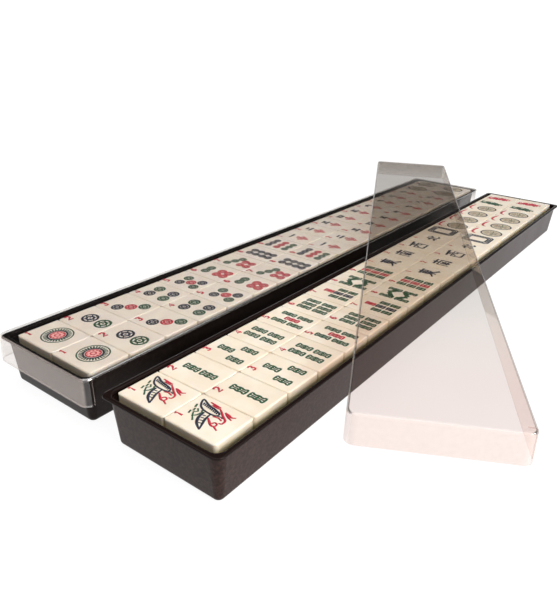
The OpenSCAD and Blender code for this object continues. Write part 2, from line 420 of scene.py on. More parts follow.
def cover_finish(node, tint, near_tint, edge_on, bend_shine, turn, settings):
    """Clear formed sheet: see-through face on, greyer and shinier at a low angle, hazy where the
    skirt and the edges were drawn; tint is its colour face on, near_tint the same at its near end,
    edge_on its colour at a low angle, bend_shine the share of reflection in its rounded edges, and
    turn how far it is turned, in degrees. The seated cover's cut edge catches the light too."""
    finish = Finish(f"{node}_clear_sheet")
    low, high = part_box(node)
    z = finish.axes()[2]
    angle = math.radians(turn)
    sideways = (math.cos(angle), math.sin(angle), 0)
    lengthways = (-math.sin(angle), math.cos(angle), 0)
    scuff = finish.noise(500, 3, (1, 0.1, 1))

    # how far a face belongs to the upright skirt, to one of its ends, or to a rounded edge
    normal = finish.add("ShaderNodeNewGeometry").outputs["Normal"]
    upright = finish.size(finish.axes(normal)[2])
    skirt = finish.ramp(upright, 0.75, 0.25)
    leans = [finish.size(finish.dot(normal, direction)) for direction in (lengthways, sideways)]
    end = finish.ramp(finish.minus(*leans), 0.05, 0.35)
    bend = finish.times(finish.ramp(upright, 0.12, 0.3), finish.ramp(upright, 0.99, 0.9))
    bend = finish.times(bend, finish.minus(1.0, end))

    # the far end is drawn less towards its lower edge, and its sheet is thicker and greyer above
    along = finish.dot(finish.place, lengthways)
    far = finish.ramp(along, *FAR_SHEET)
    lower = finish.ramp(z, high.z - 3 * MM, low.z + 1 * MM)
    drawn = finish.times(finish.ramp(upright, 0.985, 0.85), end)
    drawn = finish.times(drawn, finish.minus(1.0, finish.times(far, lower)))
    thick = finish.times(drawn, far)

    rough = settings.roughness
    finish.look({
        "Base Color": finish.mix(drawn, settings.film, settings.milk),
        "Metallic": finish.minus(1.0, drawn),
        "Roughness": finish.ramp(scuff, 0.5, 0.75, rough, rough + 0.1),
        "IOR": 1.6,
        "Normal": finish.bump(finish.noise(28, 2, (1, 0.35, 1)), 0.4 * MM, 0.25),
    })

    # the colour of what is seen through the sheet
    slant = finish.add("ShaderNodeLayerWeight", {"Blend": 0.5}).outputs["Facing"]
    low_angle = finish.mix(skirt, edge_on, settings.skirt_edge_on)
    face_on = finish.mix(finish.ramp(along, *NEAR_TINT), near_tint, tint)
    through = finish.mix(finish.math("POWER", slant, 5.0), face_on, low_angle)
    through = finish.mix(finish.times(bend, settings.bend_tint), through, edge_on)
    through = finish.mix(thick, through, settings.thick, "MULTIPLY")
    clear = finish.add("ShaderNodeBsdfTransparent", {"Color": through})

    # the share of light that the sheet itself throws back
    gloss = finish.times(finish.math("POWER", slant, 6.0), settings.low_shine)
    gloss = finish.plus(gloss, settings.shine)
    haze = finish.times(drawn, settings.end_haze)
    if node == "left_cover":
        haze = finish.plus(haze, finish.ramp(z, low.z + 1.1 * MM, low.z + 0.3 * MM, 0, 0.16))
    haze = finish.plus(haze, finish.times(bend, bend_shine))
    haze = finish.plus(haze, settings.plate_haze)
    haze = finish.times(haze, finish.ramp(scuff, 0.3, 0.7, 0.9, 1.1))
    share_back = finish.math("MINIMUM", finish.plus(gloss, haze), SHINE_LIMIT)
    inputs = {0: share_back, 1: clear.outputs[0], 2: finish.shader.outputs[0]}
    mixed = finish.add("ShaderNodeMixShader", inputs)
    finish.set(finish.output.inputs["Surface"], mixed.outputs[0])
    return finish.material


def floor_finish(settings):
    """Plain pale floor with a trace of unevenness; a painted shadow: no light rises from the narrow
    gap between the trays."""
    finish = Finish("pale_floor")
    x, y, _ = finish.axes()
    low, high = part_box("right_tray")
    gap = (low.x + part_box("left_tray")[1].x) / 2
    # the floor's own light is taken away in a strip between the trays, a painted shadow that fades
    # before their far end
    outside_shadow = finish.ramp(finish.size(finish.minus(x, gap)), *SHADOW_STRIP)
    beyond = finish.ramp(finish.size(y), *[high.y - before for before in STRIP_FADE])
    darker = scaled(settings.floor, 0.985)
    finish.look({
        "Base Color": finish.mix(finish.noise(0.8, 1), settings.floor, darker),
        "Roughness": 0.8,
        "Specular IOR Level": 0.1,
        "Emission Color": (1, 1, 1),
        "Emission Strength": finish.times(finish.math("MAXIMUM", outside_shadow, beyond), settings.glow),
    })
    return finish.material


def dress(nodes, material):
    """Gives CAD nodes one finish."""
    for node in nodes:
        data = frame["nodes"][node].data
        data.materials.clear()
        data.materials.append(material)


# ===== Drawing marks =====

INKS = ("green", "red", "navy", "grey", "tan", "rose")
# Height of a line's ridge against its width, and half the height of a filled patch
RIDGE = 0.11
PATCH = 0.01 * MM
# Gap between the two tiles of a row
TILE_GAP = 0.2 * MM


def select_only(*objects):
    """Deselects everything, then selects these, the last one active."""
    if bpy.context.object and bpy.context.object.mode != "OBJECT":
        bpy.ops.object.mode_set(mode="OBJECT")
    bpy.ops.object.select_all(action="DESELECT")
    for item in objects:
        item.select_set(True)
    bpy.context.view_layer.objects.active = objects[-1] if objects else None


def join(parts, name):
    """Makes one piece of several."""
    select_only(*parts)
    if len(parts) > 1:
        bpy.ops.object.join()
    piece = bpy.context.object
    piece.name = name
    piece.data.name = name
    return piece


def smooth(points, closed=False, steps=4):
    """Points on a soft curve through the given ones; each point may carry its width."""
    count = len(points)
    if count < 3:
        return list(points)
    result = []
    for i in range(count if closed else count - 1):
        near = [i + k for k in (-1, 0, 1, 2)]
        near = [k % count if closed else max(0, min(count - 1, k)) for k in near]
        for step in range(steps):
            t = step / steps
            result.append(tuple(
                0.5 * (2 * b + (c - a) * t + (2 * a - 5 * b + 4 * c - d) * t * t
                       + (3 * b - a - 3 * c + d) * t ** 3)
                for a, b, c, d in zip(*[points[k] for k in near])
            ))
    if not closed:
        result.append(tuple(points[-1]))
    return result


def turned(points, angle, middle=(0, 0)):
    """Points turned about a middle, in degrees."""
    c, s = math.cos(math.radians(angle)), math.sin(math.radians(angle))
    return [
        (middle[0] + (p[0] - middle[0]) * c - (p[1] - middle[1]) * s,
         middle[1] + (p[0] - middle[0]) * s + (p[1] - middle[1]) * c, *p[2:])
        for p in points
    ]


def moved(points, middle):
    """Points moved by a middle."""
    return [(middle[0] + p[0], middle[1] + p[1], *p[2:]) for p in points]


def circle(middle, radius, count=24, height=None):
    """Points on a circle or an oval."""
    tall = radius if height is None else height
    return [
        (middle[0] + radius * math.cos(2 * math.pi * k / count),
         middle[1] + tall * math.sin(2 * math.pi * k / count))
        for k in range(count)
    ]


class Sheet:
    """The lines and filled patches of one tile's face, by ink."""

    def __init__(self):
        self.lines = {ink: [] for ink in INKS}
        self.patches = {ink: [] for ink in INKS}

    def line(self, ink, width, points, closed=False, soft=False):
        """A line; a point may carry a third number, which scales the width there."""
        points = [(*p[:2], p[2] if len(p) > 2 else 1.0) for p in points]
        if soft:
            points = smooth(points, closed)
        self.lines[ink].append((width, points, closed))

    def patch(self, ink, points):
        """A filled closed patch."""
        self.patches[ink].append((1.0, points, True))

    def ring(self, ink, middle, radius, width, count=24, height=None):
        """A closed line round a middle."""
        self.line(ink, width, circle(middle, radius, count, height), closed=True)

    def disc(self, ink, middle, radius, count=12):
        """A filled round patch."""
        self.patch(ink, circle(middle, radius, count))

    def spread(self, ink, width, points, middle, count, start=0, closed=False):
        """A line repeated all round a middle."""
        for k in range(count):
            self.line(ink, width, turned(points, start + k * 360 / count, middle), closed)


def draw(name, items, flat):
    """Lines of one ink as low ridges, or its patches as thin plates, made a mesh."""
    select_only()
    bpy.ops.curve.primitive_bezier_curve_add(location=(0, 0, 0))
    piece = bpy.context.object
    piece.name = name
    data = piece.data
    data.splines.clear()
    if flat:
        data.dimensions = "2D"
        data.fill_mode = "BOTH"
        data.extrude = PATCH
    else:
        data.dimensions = "3D"
        data.bevel_depth = 0.5 * MM
        data.bevel_resolution = 0
        data.use_fill_caps = True
        data.twist_mode = "Z_UP"
    for width, points, closed in items:
        spline = data.splines.new("POLY")
        spline.points.add(len(points) - 1)
        spline.use_cyclic_u = closed
        for point, (a, b, *scale) in zip(spline.points, points):
            point.co = (a * MM, b * MM, 0, 1)
            if scale:
                point.radius = width * scale[0]
    select_only(piece)
    bpy.ops.object.convert(target="MESH")
    if not flat:
        bpy.ops.object.mode_set(mode="EDIT")
        bpy.ops.mesh.select_all(action="SELECT")
        bpy.ops.transform.resize(value=(1, 1, RIDGE))
        bpy.ops.object.mode_set(mode="OBJECT")
    return bpy.context.object


def engrave(node, sheet, materials):
    """Puts a sheet of marks on both tiles of a row, as one piece that moves with them."""
    parts = []
    for ink in INKS:
        kinds = (("lines", sheet.lines[ink], False), ("patches", sheet.patches[ink], True))
        for kind, items, flat in kinds:
            if items:
                part = draw(f"{node}_{ink}_{kind}", items, flat)
                part.data.materials.clear()
                part.data.materials.append(materials[ink])
                parts.append(part)
    first = join(parts, f"{node}_marks")
    low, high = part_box(node)
    middle = (low + high) / 2
    column = (high.x - low.x) / 4 + TILE_GAP / 4
    select_only(first)
    bpy.ops.object.duplicate(linked=False)
    second = bpy.context.object
    for piece, side in ((first, -1), (second, 1)):
        piece.rotation_euler = (0, 0, math.pi / 2)
        piece.location = (middle.x + side * column, middle.y, high.z)
    select_only(second, first)
    bpy.ops.object.transform_apply(location=True, rotation=True, scale=True)
    piece = join([second, first], f"{node}_marks")
    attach(piece, body_of_node(node))
    return piece


# ===== Figures =====

# Signs are drawn in hundredths of their width and height, from the lower left; a third number is
# the line's width there, in hundredths. First the plain numerals.
DIGITS = {
    1: [[(20, 78), (52, 100), (52, 0)]],
    2: [[(5, 78), (25, 98), (70, 98), (90, 75), (75, 50), (5, 0), (95, 0)]],
    3: [[(8, 88), (40, 100), (82, 86), (78, 62), (42, 53)],
        [(42, 53), (85, 42), (88, 14), (45, -2), (5, 12)]],
    4: [[(72, 0), (72, 100), (2, 30), (98, 30)]],
    5: [[(85, 100), (22, 100), (15, 56), (60, 62), (92, 36), (72, 4), (8, 4)]],
    6: [[(80, 92), (35, 85), (10, 40), (30, 2), (75, 4), (90, 30), (62, 54), (16, 40)]],
    7: [[(5, 84), (8, 100), (95, 100), (50, 45), (40, 0)]],
    8: [[(50, 54), (16, 76), (50, 100), (84, 76), (50, 54), (10, 25), (50, 0), (90, 25),
        (50, 54)]],
    9: [[(20, 4), (60, 14), (90, 60), (70, 98), (25, 95), (10, 68), (38, 45), (86, 60)]],
}


def strokes(sheet, ink, lines, middle, size, pen):
    """The strokes of a sign, placed and scaled."""
    for line in lines:
        points = [[value / 100 for value in point] for point in line]
        sheet.line(ink, pen, [
            (middle[0] + (a - 0.5) * size[0], middle[1] + (b - 0.5) * size[1], *width)
            for a, b, *width in points
        ])


def numeral(sheet, value, middle=(-5.6, 12.1), height=4.1, width=2.7, pen=1.15):
    """A plain numeral in the tile's corner."""
    strokes(sheet, "red", DIGITS[value], middle, (width, height), pen)


def stick(sheet, ink, middle, length, width, turn):
    """A bamboo stick: a pinched outline with a knot in the middle and two veins."""
    w, l = width / 2 - 0.5, length / 2 - 0.5
    half = [(0.55, 1), (0.98, 0.95), (1, 0.8), (0.66, 0.6), (0.66, 0.36), (0.9, 0.12)]
    right = half + [(x, -y) for x, y in reversed(half)]
    outline = right + [(-x, -y) for x, y in right]
    lines = [(1.12, outline), (1.25, [(-0.8, 0), (0.8, 0)]),
             (0.8, [(0, -0.12), (0, -0.98)]), (0.8, [(0, 0.12), (0, 0.98)])]
    for pen, points in lines:
        placed = [(middle[0] + x * w, middle[1] + y * l) for x, y in points]
        sheet.line(ink, pen, turned(placed, turn, middle), closed=points is outline)


def bird(sheet):
    """A plain standing bird: ribbed wing, curved tail, double comb, rounded back and bent neck."""
    wing = [(8.5, 11.2), (4.8, 9.4), (2.9, 6.6), (2.3, 3), (2.7, -1.2), (4.7, -1.6), (5.9, 2),
            (6.8, 6.6)]
    sheet.line("navy", 0.98, wing, closed=True, soft=True)
    for k in range(9):
        b = -0.6 + k * 1.15
        sheet.line("navy", 0.85, [(3.7 + 0.2 * k, b), (5 + 0.24 * k, b + 0.5)])
    for width, tail in (
        (1.3, [(-8.2, -2.4, 0.6), (-5.6, 1.6, 1), (-2.2, 3.8, 1.1), (1.6, 4.4, 0.8)]),
        (1.1, [(-8.2, -2.4, 0.6), (-5, -0.9, 1), (-1.6, 0.6, 1.1), (2, 1.2, 0.7)]),
    ):
        sheet.line("navy", width, tail, soft=True)
    for a, b in ((-5, 0.4), (-3.4, 1.3), (-1.8, 2.1), (-0.2, 2.6)):
        sheet.line("navy", 0.61, [(a, b + 0.9), (a + 0.4, b - 0.7)])
    for line in (
        [(-5.4, 4.3), (-3, 6.6), (-1.6, 5.4), (0.9, 5), (2, 6)],
        [(-3.4, 6.4), (-0.9, 8.2), (0.6, 6.9), (2, 8.4)],
        [(-2.8, 9.3), (-0.6, 10)], [(-0.4, 8.9), (1.6, 9.5)],
    ):
        sheet.line("green", 0.92, line)
    sheet.line("green", 0.98, [(2, 10.1), (4.2, 11)])
    for line in (
        [(8.8, 7.2, 0.7), (8.4, 4, 1.1), (8.2, 0.6, 0.7)],
        [(7.5, 5.2, 0.7), (7.3, 2.8, 1), (7.3, 0.6, 0.8)],
        [(7.6, 0.6, 0.7), (5.9, -1.8, 1.1), (4.2, -4.2, 1.1), (2.6, -6.8, 1.1), (0.2, -7.2, 0.9),
         (-0.3, -5.8, 0.7)],
        [(1.6, -0.6, 0.7), (2.3, -3, 0.9), (1.6, -5.6, 0.8)],
        [(6.9, -3, 0.8), (5.2, -6, 1.1), (4.2, -8.8, 0.6)],
        [(6.9, -3, 0.8), (6.5, -5.6, 1), (5.8, -7.4, 1), (6.9, -9.2, 0.6)],
        [(-0.3, 0.2, 0.9), (-2, -2.2, 1.2), (-3.3, -4.2, 1.1), (-3, -5.9, 0.9),
         (-1.4, -5.9, 0.9), (-0.9, -4.4, 0.9), (-2.2, -3.6, 0.9)],
        [(-3.1, -5.6, 1), (-4.5, -8.6, 0.7)],
    ):
        sheet.line("red", 1, line, soft=True)
    for a, b in ((8, 4.6), (7.8, 2.6)):
        sheet.line("red", 0.6, [(a + 0.5, b + 0.4), (a - 0.6, b - 0.4)])
    sheet.line("navy", 0.61, [(3, -2), (3.4, -3.6), (2.8, -5)], soft=True)


# Sticks by the tile's number: their ink, columns, rows, length, width and turn in degrees
STICKS = {
    2: [("green", (0.4,), (4.6, -6.2), 9.7, 4.6, 0)],
    3: [("green", (0.8,), (4.7,), 9.7, 4.6, 0), ("green", (-5.1, 6.3), (-6.3,), 9.7, 4.6, 0)],
    4: [("green", (-3, 3.6), (4.5, -6.6), 9.7, 4.5, 0)],
    5: [("green", (-4.2, 5.8), (3.9, -7.1), 9.7, 4.2, 0), ("red", (0.8,), (-1.7,), 9.6, 4.2, 0)],
    6: [("green", (-4.4, 0.6, 5.8), (3.3, -7.7), 9.5, 4.3, 0)],
    7: [("red", (1.6,), (5.2,), 6.7, 4.3, 0), ("green", (-4,), (-1.7, -8.75), 6.3, 4.5, 0),
        ("navy", (1.6,), (-1.7, -8.75), 6.3, 4.5, 0),
        ("green", (7.2,), (-1.7, -8.75), 6.3, 4.5, 0)],
    8: [("green", (-5.5, 7), (3.5, -7), 9.4, 4.2, 0), ("green", (-2.2,), (2.3,), 7.4, 3.4, -48),
        ("green", (3.7,), (3.2,), 7.4, 3.4, 48), ("green", (-2.2,), (-5.6,), 7.4, 3.4, 48),
        ("green", (3.7,), (-5.6,), 7.4, 3.4, -48)],
    9: [(ink, (a,), (5.3, -1.7, -8.7), 6.1, 4.9, 0)
        for ink, a in (("green", -5.2), ("red", 0.4), ("green", 6))],
}


def bamboo_sheet(value):
    """Marks of the bamboo tile with this number."""
    sheet = Sheet()
    numeral(sheet, value)
    if value == 1:
        bird(sheet)
    else:
        for ink, columns, rows, *shape in STICKS[value]:
            for a in columns:
                for b in rows:
                    stick(sheet, ink, (a, b), *shape)
    return sheet


def small_dot(sheet, ink, middle, radius):
    """A dot: a ring round a rosette; the smaller the dot, the closer they lie."""
    close = 0 if radius > 4 else 0.05
    sheet.ring(ink, middle, radius * (0.87 - close / 2), radius * (0.27 + close), 20)
    sheet.ring(ink, middle, radius * 0.42, radius * (0.29 + close), 14)
    sheet.disc(ink, middle, radius * 0.15, 8)
    arm = moved([(0, radius * 0.5), (0, radius * 0.72)], middle)
    sheet.spread(ink, radius * (0.17 + close), arm, middle, 6)


def great_dot(sheet, middle=(1.2, -0.8)):
    """The great dot: a ring of spokes round a rose heart with petals."""
    sheet.ring("green", middle, 8, 0.75, 48)
    sheet.spread("green", 0.85, moved([(0, 5.4), (0, 7.1)], middle), middle, 28)
    sheet.ring("navy", middle, 4.9, 1, 40)
    sheet.patch("rose", circle(middle, 4, 28))
    sheet.ring("red", middle, 3.7, 0.8, 32)
    sheet.spread("red", 0.9, moved([(0, 2.5, 0.6), (0, 3.4, 1.4)], middle), middle, 10)
    sheet.ring("red", middle, 1.4, 0.9, 20)


# Ink, middle and radius of each dot, by the tile's number
DOTS = {
    2: [("navy", (0.3, 3.1), 4.9), ("green", (0.3, -7.9), 4.9)],
    3: [("navy", (-5, 3.3), 3.6), ("red", (0, -2.6), 3.6), ("green", (5.2, -8.3), 3.6)],
    4: [("navy", (-3.9, 4.4), 3.7), ("green", (4.2, 4.4), 3.7), ("green", (-3.9, -7.7), 3.7),
        ("navy", (4.2, -7.7), 3.7)],
    5: [("navy", (-3.8, 3.5), 3.3), ("green", (4.25, 3.5), 3.3), ("green", (-3.8, -8.7), 3.3),
        ("navy", (4.25, -8.7), 3.3), ("red", (0.2, -2.75), 3.35)],
    6: [("green", (-2.8, 4.9), 3.2), ("green", (2.8, 4.9), 3.2)]
       + [("red", (a, b), 3.1) for a in (-2.9, 2.9) for b in (-5.1, -10.9)],
    7: [("green", (-5.9, 4.3), 2.9), ("green", (-0.3, 1.8), 2.9), ("green", (5.2, -0.3), 2.9)]
       + [("red", (a, b), 2.85) for a in (-3.7, 2.4) for b in (-5.5, -11.1)],
    8: [("navy", (a, b), 2.85) for a in (-4.2, 2) for b in (5.6, -0.25, -6.1, -11.5)],
    9: [(ink, (a, b), 2.8) for ink, b in (("navy", 6.2), ("red", -1.75), ("green", -9))
        for a in (-5.4, 0.25, 5.8)],
}


def dot_sheet(value):
    """Marks of the dot tile with this number."""
    sheet = Sheet()
    numeral(sheet, value, (-7.2, 11.9), 4.4, 2.9, 1.3)
    if value == 1:
        great_dot(sheet)
    else:
        for ink, middle, radius in DOTS[value]:
            small_dot(sheet, ink, middle, radius)
    return sheet


# Brush figures of the number signs one to nine
SIGNS = {
    1: [[(0, 50, 80), (50, 50, 100), (100, 58, 140)]],
    2: [[(20, 85), (80, 90, 120)], [(0, 12), (100, 16, 130)]],
    3: [[(15, 95), (85, 100, 120)], [(22, 52), (78, 55)], [(0, 5), (100, 8, 130)]],
    4: [[(10, 0), (6, 95), (94, 95), (88, 0)], [(36, 90), (30, 35), (16, 30)],
        [(62, 90), (64, 42), (84, 38)], [(10, 8), (88, 8)]],
    5: [[(12, 98), (88, 98)], [(46, 98), (30, 2)], [(16, 56), (74, 56), (70, 2)],
        [(0, 2), (100, 2, 130)]],
    6: [[(50, 105, 130), (54, 80)], [(2, 64), (98, 64)], [(36, 48), (8, 0, 70)],
        [(62, 50, 70), (94, 2, 140)]],
    7: [[(5, 52), (95, 72)], [(44, 100), (44, 16), (54, 2), (90, 4), (95, 25)]],
    8: [[(36, 95), (28, 45), (2, 0, 60)], [(50, 100, 70), (66, 50), (100, 2, 140)]],
    9: [[(12, 66), (66, 70), (62, 10), (74, 0), (96, 5), (96, 25)],
        [(42, 100), (38, 50), (5, 0, 60)]],
}
# The sign under the numbers in the character suit
SUIT_SIGN = [
    [(52, 102, 90), (51, 50, 130), (50, -2, 90)], [(34, 90), (68, 91)],
    [(12, 68), (88, 70), (74, 36), (28, 34), (12, 68)], [(20, 52), (80, 53)], [(34, 18), (70, 20)],
]
# Brush figures of the four winds
WINDS = {
    "east_wind": [
        [(50, 100, 80), (50, 2)], [(12, 83), (88, 86)],
        [(26, 70), (76, 70), (74, 40), (28, 40), (26, 70)], [(28, 55), (74, 55)],
        [(46, 38), (30, 20), (0, 4, 50)], [(54, 38), (74, 18), (100, 0, 140)],
    ],
    "south_wind": [
        [(50, 100), (50, 68)], [(10, 84), (92, 87)],
        [(14, 0, 70), (12, 64), (90, 66), (88, 4, 130)], [(34, 54), (44, 40)],
        [(68, 55), (56, 40)], [(30, 34), (72, 35)], [(50, 40), (50, 4)], [(28, 18), (74, 19)],
    ],
    "west_wind": [
        [(2, 86), (98, 98, 130)], [(42, 90), (36, 50), (22, 36, 60)],
        [(60, 92), (62, 44), (80, 40)], [(14, 4), (6, 60), (92, 66), (86, 4), (14, 4)],
    ],
    "north_wind": [
        [(36, 100), (34, 4)], [(4, 68), (34, 70)], [(0, 14), (34, 30)],
        [(62, 100), (62, 20), (78, 4), (100, 20)], [(96, 82), (64, 58)],
    ],
}


def character_sheet(value):
    """Marks of the character tile with this number."""
    sheet = Sheet()
    numeral(sheet, value, (-7.6, 11.7), 4.3, 2.9, 1.3)
    strokes(sheet, "navy", SIGNS[value], (-0.6, 5.4), (8, 4.6), 1.6)
    strokes(sheet, "red", SUIT_SIGN, (-0.3, -4.6), (11.6, 11), 1.1)
    return sheet


def wind_sheet(row, number):
    """Marks of a wind tile, with its plain number in the corner."""
    sheet = Sheet()
    numeral(sheet, number, (-6.4, 11.6), 3.8, 2.6)
    b, size = (-0.6, (11, 9)) if row == "north_wind" else (0.6, (12, 13))
    strokes(sheet, "navy", WINDS[row], (0.9, b), size, 1.7)
    return sheet


def white_dragon_sheet():
    """Marks of the white dragon: an empty double frame with cut corners."""
    sheet = Sheet()

    def frame_points(inset, cut):
        """Corners of a frame this far inside the outermost one, each cut off."""
        l, r, t, b = -7.6 + inset, 9.3 - inset, 11.4 - inset, -9.5 + inset
        return [(l + cut, t), (r - cut, t), (r, t - cut), (r, b + cut), (r - cut, b), (l + cut, b),
                (l, b + cut), (l, t - cut)]

    for width, inset, cut in ((1.5, 0, 1.8), (1.5, 3.2, 1.2), (1.2, 1.6, 1.5)):
        sheet.line("navy", width, frame_points(inset, cut), closed=True)
    for k in range(5):
        a = -3 + k * 1.9
        for b in (9.9, -8):
            sheet.line("navy", 0.6, [(a, b + 1.3), (a + 0.8, b - 1.3)])
    for k in range(7):
        b = -6 + k * 2.3
        for a in (-6.1, 7.8):
            sheet.line("navy", 0.6, [(a - 1.3, b), (a + 1.3, b + 0.8)])
    return sheet


def flower_sheet(number):
    """Marks of a flower tile: a sprig in an oval, under a red garland."""
    sheet = Sheet()
    numeral(sheet, number, (8.4, 12.6), 2.8, 1.9, 0.6)
    garland = [(-9.2, 8.2, 0.6), (-7.4, 11.2), (-3.6, 12.5), (1, 12.4), (5.8, 11.2, 0.7)]
    sheet.line("red", 1.9, garland, soft=True)
    middle = (-1, -2.5)
    sheet.ring("navy", middle, 8.1, 1.3, 36, 8.3)
    sheet.patch("tan", circle(middle, 7.3, 28, 7.5))
    for ink, width, stem in (
        ("grey", 0.8, [(-3.6, -9), (-2.2, -5), (-1.2, -1.6)]),
        ("grey", 0.7, [(-2.6, -6.2), (0.8, -5.8), (3.2, -7.2)]),
        ("green", 0.9, [(-3, -4.4), (-5.4, -3.4), (-6.6, -4.8)]),
        ("green", 0.9, [(-1.6, -3.2), (1.4, -3.4), (3.6, -2.4)]),
    ):
        sheet.line(ink, width, stem, soft=True)
    for k in range(7):
        for n in range(7):
            a, b = (k - 3) * 2.1 + (n % 2) * 1.05, (n - 3) * 2.1
            if a * a + b * b < 40 and a * a + (b - 3.5) ** 2 > 9:
                lean = 0.5 if (k + n + number) % 2 else -0.5
                speck = [(middle[0] + a + side * 0.6, middle[1] + b + side * lean)
                         for side in (-1, 1)]
                sheet.line("grey", 0.75, speck)
    petals = 4 + number
    heart = (-0.8, 1)
    petal = moved([(-0.3, 0.8), (-1, 2.4), (0, 3.3), (1, 2.4), (0.3, 0.8)], heart)
    sheet.spread("grey" if number % 2 else "navy", 0.55, petal, heart, petals, 12, closed=True)
    sheet.ring("red", heart, 0.7, 0.5, 10)
    for a, b in ((3.6, -4.9), (-5.2, 0.6), (4.2, 1.6)):
        sheet.disc("grey", (a, b), 0.65, 8)
    return sheet


def dragon_sheet(ink, middle, lean):
    """Marks of a coloured dragon: a coiled body with a head, whiskers, claws and a tail."""
    sheet = Sheet()

    def leaning(points):
        """Points moved to the middle, the more to one side the higher they are."""
        return [(middle + p[0] + lean * p[1] / 10, *p[1:]) for p in points]

    body = [(0.6, 11, 0.9), (-3.2, 10, 1.1), (-1.4, 7.6, 1.2), (3.2, 6.4, 1.1),
            (2.2, 4, 1.1), (-3, 3.4, 1.2), (-3.6, 1, 1.1), (2.6, 0.2, 1.2),
            (3, -2.2, 1.1), (-2.8, -2.8, 1.2), (-3.2, -5, 1), (1.8, -5.4, 0.9),
            (3.4, -7.6, 0.6)]
    sheet.line(ink, 2.3, leaning(body), soft=True)
    for line in (
        [(0.2, 11), (3.4, 11.6), (4.6, 10)], [(0.8, 10.2), (3, 9)],
        [(-4.6, 11.4), (-3, 12.2)], [(-5, 8.6), (-3.2, 7.6), (-4.6, 6.6)],
        [(-4.6, 5.4), (-1.6, 5.6), (1, 5.2)], [(4.4, 4.6), (4.8, 2.4), (3.2, 2.2)],
        [(-1.6, 2.2), (1.2, 2)], [(-5, -0.6), (-3.6, -1), (0.8, -1.2)],
        [(4.6, 0.4), (5, -0.8)], [(4.6, -3.2), (2.6, -4), (-0.8, -4)],
        [(-5, -3.8), (-5.2, -5.4)], [(-4.6, -7), (-1.4, -6.8), (0.6, -7.4)],
        [(-2.6, -8.6), (0.2, -9), (2.2, -8.8)],
    ):
        sheet.line(ink, 1.15, leaning(line))
    return sheet


def joker_sheet(number):
    """Marks of a joker tile: a star in an oval, with a little red."""
    sheet = Sheet()
    middle = (-0.6, 0.2)
    sheet.ring("navy", middle, 7.6, 1.5, 36, 9.4)
    sheet.patch("tan", circle(middle, 6.8, 28, 8.6))
    ray = moved([(-1.1, 1.6), (0, 5.6), (1.1, 1.6)], middle)
    sheet.spread("grey", 1.1, ray, middle, 5 if number == 1 else 7)
    sheet.ring("navy", middle, 1.7, 0.8, 16)
    sheet.disc("red", middle, 0.9, 10)
    for k in (-1, 1):
        sheet.disc("red", (middle[0] + k * 3, 11.6), 0.8, 10)
    sheet.line("red", 0.9, [(-3, 11.2), (-0.6, 12.4), (1.8, 11.2)], soft=True)
    return sheet


# ===== Pieces =====


def inks():
    """The ink finishes, made once."""
    settings = bpy.context.scene.mahjong_inks
    result = {}
    for ink in INKS:
        name = f"{ink}_ink"
        made = bpy.data.materials.get(name)
        result[ink] = made or ink_finish(name, getattr(settings, ink), settings)
    return result


def draw_row(row, sheet):
    """Draws a row's marks on its upper tiles, and on the lower pair where that lifts out."""
    materials = inks()
    engrave(row, sheet, materials)
    if row in FREE_ROWS:
        engrave(f"lower_{row}", sheet, materials)


def draw_rows(kind, count, make):
    """Draws the marks of a kind's rows, numbered from one."""
    for number in range(1, count + 1):
        draw_row(f"{kind}_{number}", make(number))


class MAHJONG_OT_tiles(bpy.types.Operator):
    """Gives every tile its cream resin"""

    bl_idname = "mahjong.tiles"
    bl_label = "Tiles"

    def execute(self, context):
        settings = context.scene.mahjong_tiles
        for side, first, tone in (("right", "bamboo_1", RIGHT_TONE), ("left", "dot_1", LEFT_TONE)):
            low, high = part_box(first)
            start = ((low.x + high.x) / 2, low.y)
            nodes = [n for n in TILE_NODES if (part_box(n)[1].x > 0) == (side == "right")]
            dress(nodes, tile_finish(f"cream_resin_{side}", start, tone, settings))
        return {"FINISHED"}


class MAHJONG_OT_trays(bpy.types.Operator):
    """Gives both trays their dark formed sheet"""

    bl_idname = "mahjong.trays"
    bl_label = "Trays"

    def execute(self, context):
        for node in TRAYS:
            dress([node], tray_finish(node, context.scene.mahjong_trays))
        return {"FINISHED"}


class MAHJONG_OT_covers(bpy.types.Operator):
    """Gives both covers their clear formed sheet"""

    bl_idname = "mahjong.covers"
    bl_label = "Covers"

    def execute(self, context):
        settings = context.scene.mahjong_covers
        seated = (settings.seated, settings.seated, settings.seated_edge_on, settings.seated_bend)
        loose = (settings.loose, settings.loose_near, settings.loose_edge_on, settings.loose_bend)
        for node, looks, turn in (("left_cover", seated, 0), ("loose_cover", loose, LOOSE_TURN)):
            dress([node], cover_finish(node, *looks, turn, settings))
        return {"FINISHED"}


class MAHJONG_OT_bamboo_marks(bpy.types.Operator):
    """Draws the marks of the bamboo tiles"""

    bl_idname = "mahjong.bamboo_marks"
    bl_label = "Bamboo marks"

    def execute(self, context):
        draw_rows("bamboo", 9, bamboo_sheet)
        return {"FINISHED"}


class MAHJONG_OT_wind_marks(bpy.types.Operator):
    """Draws the marks of the wind tiles"""

    bl_idname = "mahjong.wind_marks"
    bl_label = "Wind marks"

    def execute(self, context):
        for number, row in enumerate(WINDS, 1):
            draw_row(row, wind_sheet(row, number))
        return {"FINISHED"}


class MAHJONG_OT_dragon_marks(bpy.types.Operator):
    """Draws the marks of the dragon tiles"""

    bl_idname = "mahjong.dragon_marks"
    bl_label = "Dragon marks"

    def execute(self, context):
        draw_row("white_dragon", white_dragon_sheet())
        draw_row("green_dragon", dragon_sheet("green", -1.4, 1.0))
        draw_row("red_dragon", dragon_sheet("red", -2.8, -1.0))
        return {"FINISHED"}


class MAHJONG_OT_flower_marks(bpy.types.Operator):
    """Draws the marks of the flower tiles"""

    bl_idname = "mahjong.flower_marks"
    bl_label = "Flower marks"

    def execute(self, context):
        draw_rows("flower", 4, flower_sheet)
        return {"FINISHED"}


